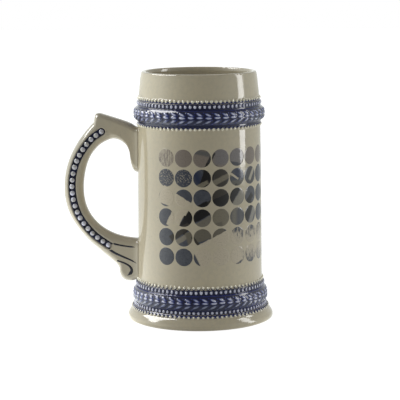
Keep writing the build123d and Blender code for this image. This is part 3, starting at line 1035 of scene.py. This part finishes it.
def print_material():
    recipe = Recipe("dot_print")
    angle = recipe.math("ARCTAN2", recipe.axis("Y"), recipe.axis("X"))
    around = recipe.times(angle, PRINT_WALL_RADIUS)
    up = recipe.times(recipe.axis("Z"), 1 / MM)
    flat = recipe.add("ShaderNodeCombineXYZ", around, up).outputs[0]
    wander = recipe.minus(recipe.noise(0.30, 3.0, 0.6, place=flat), 0.5)
    colour = recipe.mix(recipe.stretch(wander, -0.2, 0.25), SLATE, SLATE_DEEP)
    for patch in DOT_PATCHES:
        colour = recipe.mix(tilted_patch(recipe, around, up, wander, patch), colour, patch[-1])
    # Upright strands: pale between the rows at the lower right, and at the top left.
    thin = recipe.add("ShaderNodeMapping")
    thin.inputs["Scale"].default_value = (1.3, 0.17, 1.0)
    recipe.feed(thin.inputs["Vector"], flat)
    reeds = recipe.noise(1.0, 4.0, 0.7, place=thin.outputs[0])
    gap_height, gap_fade = REED_GAP
    off_gap = recipe.math("ABSOLUTE", recipe.minus(up, gap_height))
    pale_low = recipe.minus(recipe.plus(reeds, 0.20), recipe.times(off_gap, gap_fade))
    low_right = recipe.times(recipe.stretch(around, -44.0, -41.0), recipe.stretch(up, 70.0, 66.0))
    strands = recipe.times(recipe.stretch(pale_low, 0.47, 0.56), low_right)
    colour = recipe.mix(recipe.times(strands, 0.92), colour, PALE)
    top_left = recipe.times(recipe.stretch(around, -80.0, -81.0), recipe.stretch(up, 107.0, 109.0))
    top_left = recipe.times(top_left, recipe.stretch(reeds, 0.45, 0.54))
    colour = recipe.mix(recipe.times(top_left, 0.75), colour, PALE)
    # Speckles on the second row's first dots, and a fine mottle over everything.
    grain = recipe.noise(0.95, 3.0, 0.6, place=flat)
    speckled = recipe.times(recipe.stretch(around, -67.0, -69.0), recipe.stretch(up, 95.0, 101.0))
    speckled = recipe.times(speckled, recipe.stretch(up, 110.0, 107.0))
    speckled = recipe.times(speckled, recipe.stretch(grain, 0.54, 0.62))
    colour = recipe.mix(recipe.times(speckled, 0.65), colour, PALE)
    mottle = recipe.noise(1.2, 4.0, 0.65, place=flat)
    mottled = recipe.stretch(mottle, 0.45, 0.75, 0.0, 0.30)
    colour = recipe.mix(mottled, colour, MOTTLE)
    return recipe.finish(colour, *glaze_surface(recipe))


def paint(piece, material):
    piece.data.materials.clear()
    piece.data.materials.append(material)


paint(vessel, vessel_material())
paint(handle, handle_material())
band_glaze = cobalt_band_material()
for band in (upper_band, lower_band):
    paint(band, band_glaze)
bead_glaze = cobalt_bead_material()
for node in ("upper_beads_on_cobalt", "lower_beads_on_cobalt", "lower_beads_in_groove"):
    paint(bead_rows[node], bead_glaze)
for node, side in (
    ("upper_beads_rim_side", -1),
    ("upper_beads_wall_side", 1),
    ("lower_beads_wall_side", -1),
    ("lower_beads_foot_side", 1),
):
    low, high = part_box(node)
    row_height = (low[2] + high[2]) / 2
    paint(bead_rows[node], cream_bead_material("cream_" + node, row_height, side))
channel_glaze = channel_material()
stroke_glaze = stroke_material()
pearl_glaze = pearl_material()
for piece in channels:
    paint(piece, channel_glaze)
for piece in strokes:
    paint(piece, stroke_glaze)
for piece in pearls:
    paint(piece, pearl_glaze)
paint(dots, print_material())

# --- the camera ---
# Metres and degrees. The yaw turns the camera a little off the stein's axis.
CAMERA_DISTANCE = 1.15
CAMERA_HEIGHT = 0.2538
CAMERA_AZIMUTH = 3.6
CAMERA_PITCH = 8.53
CAMERA_ROLL = -0.39
CAMERA_FOV = 13.43
CAMERA_YAW = -0.013


def build_camera():
    data = bpy.data.cameras.new("photo_camera")
    camera = link(data, "photo_camera")
    turn = math.radians(CAMERA_AZIMUTH)
    camera.location = (
        CAMERA_DISTANCE * math.sin(turn),
        -CAMERA_DISTANCE * math.cos(turn),
        CAMERA_HEIGHT,
    )
    heading = turn + math.radians(CAMERA_YAW)
    tilt = Matrix.Rotation(math.radians(90 - CAMERA_PITCH), 4, "X")
    look = Matrix.Rotation(heading, 4, "Z") @ tilt
    camera.rotation_euler = (look @ Matrix.Rotation(math.radians(CAMERA_ROLL), 4, "Z")).to_euler()
    data.lens_unit = "FOV"
    data.angle = math.radians(CAMERA_FOV)
    data.clip_start = 0.05
    data.clip_end = 20
    bpy.context.scene.camera = camera


build_camera()


# --- floor, world and lights ---
FLOOR_HALF = 4.0
# What the camera sees of the floor, as its own glow and its colour under the lights.
FLOOR_WHITE = 0.93
FLOOR_GREY = (0.22, 0.22, 0.22, 1)
# How much of the studio's glow the floor sends up, and the extra that it sends close to the
# stein: its strength, and the distances in metres over which it dies away.
FLOOR_SHARE = 0.8
FLOOR_FILL = (0.24, 0.20, 0.60)
# The studio's brightness by compass: (degrees round from the camera's side, brightness).
STUDIO_MOST = 4.0
STUDIO_RING = (
    (-180, 1.1), (-140, 1.3), (-100, 2.3), (-75, 2.35), (-48, 0.92), (-22, 0.26), (0, 0.15),
    (22, 0.23), (48, 0.56), (72, 0.98), (100, 1.05), (140, 0.80), (180, 1.0),
)
# The brightness overhead, and the Z of the directions between which the ring gives way to it.
STUDIO_TOP = 0.35
STUDIO_TOP_FROM = (0.25, 0.85)
STUDIO_TINT = (0.97, 1.0, 0.97)
# Softboxes that show as reflections: name, place, size, brightness.
SOFTBOXES = (
    ("softbox_left", (-0.90, 0.12, 1.05), (0.80, 0.95), 13.0),
    ("softbox_right_strip", (0.72, 0.00, 0.33), (0.19, 0.68), 7.5),
    ("softbox_right_high", (0.88, 0.32, 0.80), (0.20, 0.20), 8.0),
)


def studio_glow(nodes, direction):
    """The studio's brightness seen in a direction, or over a place on the floor."""
    split = nodes.add("ShaderNodeSeparateXYZ", direction)
    towards_camera = nodes.times(split.outputs["Y"], -1.0)
    compass = nodes.math("ARCTAN2", split.outputs["X"], towards_camera)
    share = nodes.add("ShaderNodeMapRange", compass, -math.pi, math.pi)
    ramp = nodes.add("ShaderNodeValToRGB", share.outputs[0])
    stops = ramp.color_ramp.elements
    while len(stops) > 1:
        stops.remove(stops[-1])
    for number, (degrees, level) in enumerate(STUDIO_RING):
        position = (degrees + 180) / 360
        stop = stops[0] if number == 0 else stops.new(position)
        stop.position = position
        stop.color = (*(level / STUDIO_MOST * tint for tint in STUDIO_TINT), 1)
    overhead = nodes.stretch(split.outputs["Z"], *STUDIO_TOP_FROM)
    top = STUDIO_TOP / STUDIO_MOST
    return nodes.mix(overhead, ramp.outputs[0], (top, top, top))


def seen_apart(nodes, for_camera, for_the_rest, output):
    """The camera sees one shader, and reflections and soft light see the other."""
    seen = nodes.add("ShaderNodeLightPath").outputs["Is Camera Ray"]
    mix = nodes.add("ShaderNodeMixShader", seen, for_the_rest.outputs[0], for_camera.outputs[0])
    nodes.feed(nodes.tree.nodes[output].inputs["Surface"], mix.outputs[0])


def build_floor():
    half = FLOOR_HALF
    corners = [(-half, -half, 0), (half, -half, 0), (half, half, 0), (-half, half, 0)]
    mesh = bpy.data.meshes.new("studio_floor")
    mesh.from_pydata(corners, [], [(0, 1, 2, 3)])
    floor = link(mesh, "studio_floor")
    floor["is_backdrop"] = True
    paper = Recipe("studio_paper")
    paper.shader.inputs["Base Color"].default_value = FLOOR_GREY
    paper.shader.inputs["Roughness"].default_value = 0.9
    white = paper.add("ShaderNodeEmission", (1.0, 1.0, 1.0), FLOOR_WHITE)
    lit_white = paper.add("ShaderNodeAddShader", white.outputs[0], paper.shader.outputs[0])
    off_middle = paper.add("ShaderNodeVectorMath", paper.place, operation="LENGTH")
    strength, near, far = FLOOR_FILL
    fading = paper.stretch(off_middle.outputs["Value"], near, far, strength, 0.0)
    fill = paper.add("ShaderNodeEmission", (1.0, 1.0, 1.0), fading)
    colour = studio_glow(paper, paper.place)
    glow = paper.add("ShaderNodeEmission", colour, STUDIO_MOST * FLOOR_SHARE)
    both = paper.add("ShaderNodeAddShader", glow.outputs[0], fill.outputs[0])
    seen_apart(paper, lit_white, both, "Material Output")
    floor.data.materials.append(paper.material)


def build_world():
    """A white backdrop for the camera; light that varies round the compass for the rest."""
    world = bpy.data.worlds.new("studio_world")
    world.use_nodes = True
    nodes = Nodes(world.node_tree)
    direction = nodes.add("ShaderNodeTexCoord").outputs["Generated"]
    around = nodes.tree.nodes["Background"]
    around.inputs["Strength"].default_value = STUDIO_MOST
    nodes.feed(around.inputs["Color"], studio_glow(nodes, direction))
    white = nodes.add("ShaderNodeBackground", (1.0, 1.0, 1.0), 1.0)
    seen_apart(nodes, white, around, "World Output")
    bpy.context.scene.world = world


def build_softboxes():
    aim = Vector((0, 0, HEIGHT * MM / 2))
    for name, place, size, brightness in SOFTBOXES:
        light = bpy.data.lights.new(name, "AREA")
        light.shape = "RECTANGLE"
        light.size, light.size_y = size
        light.energy = brightness * math.pi * size[0] * size[1]
        box = link(light, name)
        box.location = place
        box.rotation_euler = (aim - Vector(place)).to_track_quat("-Z", "Y").to_euler()
        box.visible_camera = False
        box.visible_diffuse = False


build_floor()
build_world()
build_softboxes()
bpy.context.scene.view_settings.view_transform = "Standard"

low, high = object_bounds()
